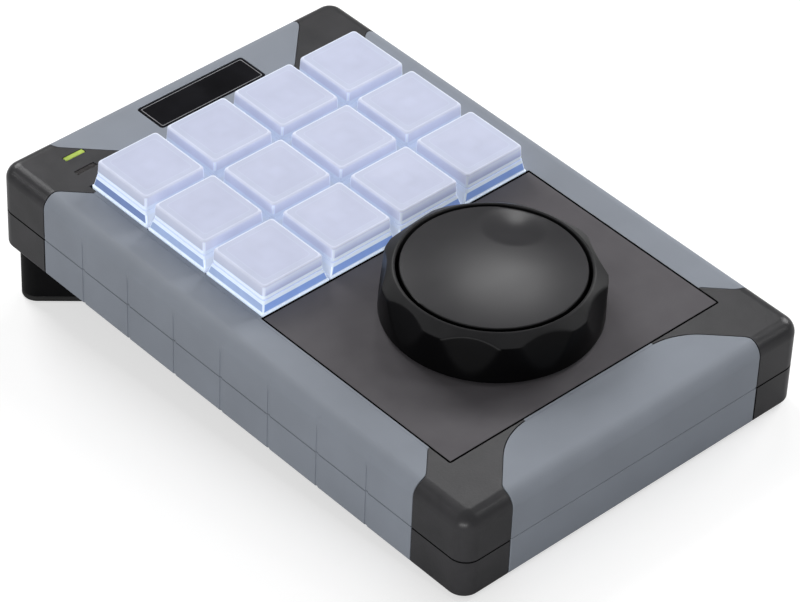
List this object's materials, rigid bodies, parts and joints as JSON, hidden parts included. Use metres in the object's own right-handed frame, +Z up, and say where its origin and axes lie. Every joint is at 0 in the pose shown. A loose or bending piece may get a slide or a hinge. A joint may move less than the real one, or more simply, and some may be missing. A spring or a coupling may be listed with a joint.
{
  "type": "macro keypad with jog and shuttle knob",
  "caption": "Leaning desk keypad with clear lit keys in a grid and a double knob: a jog disc inside a spring-centred shuttle ring.",
  "frame": {"origin": "on the desk, under the middle of the whole part's box", "axes": "+Z up from the desk; +Y to the back, where the feet and the data socket are; the user sits at -Y, by the knob; +X to the user's right. The case leans 5.5 degrees, rear end up."},
  "size_m": [0.0958, 0.149, 0.0411],
  "materials": {
    "case_black": "fine matt texture",
    "grip_grey": "soft matt",
    "panel_black": "matt, faint grain",
    "badge_dark": "satin",
    "green_light": "lit window",
    "dark_light": "unlit window",
    "key_clear": "clear moulded plastic",
    "key_lit": "translucent, lit from below",
    "knob_black": "soft matt",
    "disc_black": "satin",
    "steel": "plain",
    "board_green": "board lacquer",
    "switch_black": "moulded",
    "lamp_white": "lamp body",
    "sole_black": "matt"
  },
  "bodies": {
    "case": {"top_case": "case_black", "bottom_case": "case_black", "knob_panel": "panel_black", "badge_plate": "badge_dark", "green_window": "green_light", "red_window": "dark_light", "rear_foot_left": "case_black", "rear_foot_right": "case_black", "rear_sole_left": "sole_black", "rear_sole_right": "sole_black", "front_pad_left": "sole_black", "front_pad_right": "sole_black", "circuit_board": "board_green", "switch_plate": "steel", "switch_housings": "switch_black", "backlight_lamps": "lamp_white", "data_socket": "steel", "case_screws": "steel", "board_screws": "steel", "encoder_body": "switch_black", "grip_left_top": "grip_grey", "grip_left_bottom": "grip_grey", "grip_right_top": "grip_grey", "grip_right_bottom": "grip_grey", "grip_front_top": "grip_grey", "grip_front_bottom": "grip_grey", "grip_rear_top": "grip_grey", "grip_rear_bottom": "grip_grey"},
    "key_r1c1": {"key_base_r1c1": "key_lit", "key_cover_r1c1": "key_clear"},
    "key_r1c2": {"key_base_r1c2": "key_lit", "key_cover_r1c2": "key_clear"},
    "key_r1c3": {"key_base_r1c3": "key_lit", "key_cover_r1c3": "key_clear"},
    "key_r1c4": {"key_base_r1c4": "key_lit", "key_cover_r1c4": "key_clear"},
    "key_r2c1": {"key_base_r2c1": "key_lit", "key_cover_r2c1": "key_clear"},
    "key_r2c2": {"key_base_r2c2": "key_lit", "key_cover_r2c2": "key_clear"},
    "key_r2c3": {"key_base_r2c3": "key_lit", "key_cover_r2c3": "key_clear"},
    "key_r2c4": {"key_base_r2c4": "key_lit", "key_cover_r2c4": "key_clear"},
    "key_r3c1": {"key_base_r3c1": "key_lit", "key_cover_r3c1": "key_clear"},
    "key_r3c2": {"key_base_r3c2": "key_lit", "key_cover_r3c2": "key_clear"},
    "key_r3c3": {"key_base_r3c3": "key_lit", "key_cover_r3c3": "key_clear"},
    "key_r3c4": {"key_base_r3c4": "key_lit", "key_cover_r3c4": "key_clear"},
    "shuttle": {"shuttle_ring": "knob_black"},
    "jog": {"jog_disc": "disc_black", "jog_shaft": "steel"}
  },
  "joints": [
    {"name": "key_r1c1_press", "type": "slide", "parent": "case", "child": "key_r1c1", "axis": [0, 0.0958, -0.9954], "range_m": [0, 0.0032], "stiffness_N_per_m": 120, "springref_m": -0.003},
    {"name": "key_r1c2_press", "type": "slide", "parent": "case", "child": "key_r1c2", "axis": [0, 0.0958, -0.9954], "range_m": [0, 0.0032], "stiffness_N_per_m": 120, "springref_m": -0.003},
    {"name": "key_r1c3_press", "type": "slide", "parent": "case", "child": "key_r1c3", "axis": [0, 0.0958, -0.9954], "range_m": [0, 0.0032], "stiffness_N_per_m": 120, "springref_m": -0.003},
    {"name": "key_r1c4_press", "type": "slide", "parent": "case", "child": "key_r1c4", "axis": [0, 0.0958, -0.9954], "range_m": [0, 0.0032], "stiffness_N_per_m": 120, "springref_m": -0.003},
    {"name": "key_r2c1_press", "type": "slide", "parent": "case", "child": "key_r2c1", "axis": [0, 0.0958, -0.9954], "range_m": [0, 0.0032], "stiffness_N_per_m": 120, "springref_m": -0.003},
    {"name": "key_r2c2_press", "type": "slide", "parent": "case", "child": "key_r2c2", "axis": [0, 0.0958, -0.9954], "range_m": [0, 0.0032], "stiffness_N_per_m": 120, "springref_m": -0.003},
    {"name": "key_r2c3_press", "type": "slide", "parent": "case", "child": "key_r2c3", "axis": [0, 0.0958, -0.9954], "range_m": [0, 0.0032], "stiffness_N_per_m": 120, "springref_m": -0.003},
    {"name": "key_r2c4_press", "type": "slide", "parent": "case", "child": "key_r2c4", "axis": [0, 0.0958, -0.9954], "range_m": [0, 0.0032], "stiffness_N_per_m": 120, "springref_m": -0.003},
    {"name": "key_r3c1_press", "type": "slide", "parent": "case", "child": "key_r3c1", "axis": [0, 0.0958, -0.9954], "range_m": [0, 0.0032], "stiffness_N_per_m": 120, "springref_m": -0.003},
    {"name": "key_r3c2_press", "type": "slide", "parent": "case", "child": "key_r3c2", "axis": [0, 0.0958, -0.9954], "range_m": [0, 0.0032], "stiffness_N_per_m": 120, "springref_m": -0.003},
    {"name": "key_r3c3_press", "type": "slide", "parent": "case", "child": "key_r3c3", "axis": [0, 0.0958, -0.9954], "range_m": [0, 0.0032], "stiffness_N_per_m": 120, "springref_m": -0.003},
    {"name": "key_r3c4_press", "type": "slide", "parent": "case", "child": "key_r3c4", "axis": [0, 0.0958, -0.9954], "range_m": [0, 0.0032], "stiffness_N_per_m": 120, "springref_m": -0.003},
    {"name": "shuttle_turn", "type": "hinge", "parent": "case", "child": "shuttle", "pos_m": [0, -0.03111, 0.02609], "axis": [0, -0.0958, 0.9954], "range_deg": [-75, 75], "stiffness_Nm_per_rad": 0.03},
    {"name": "jog_turn", "type": "hinge", "parent": "case", "child": "jog", "pos_m": [0, -0.03111, 0.02609], "axis": [0, -0.0958, 0.9954], "continuous": true}
  ]
}
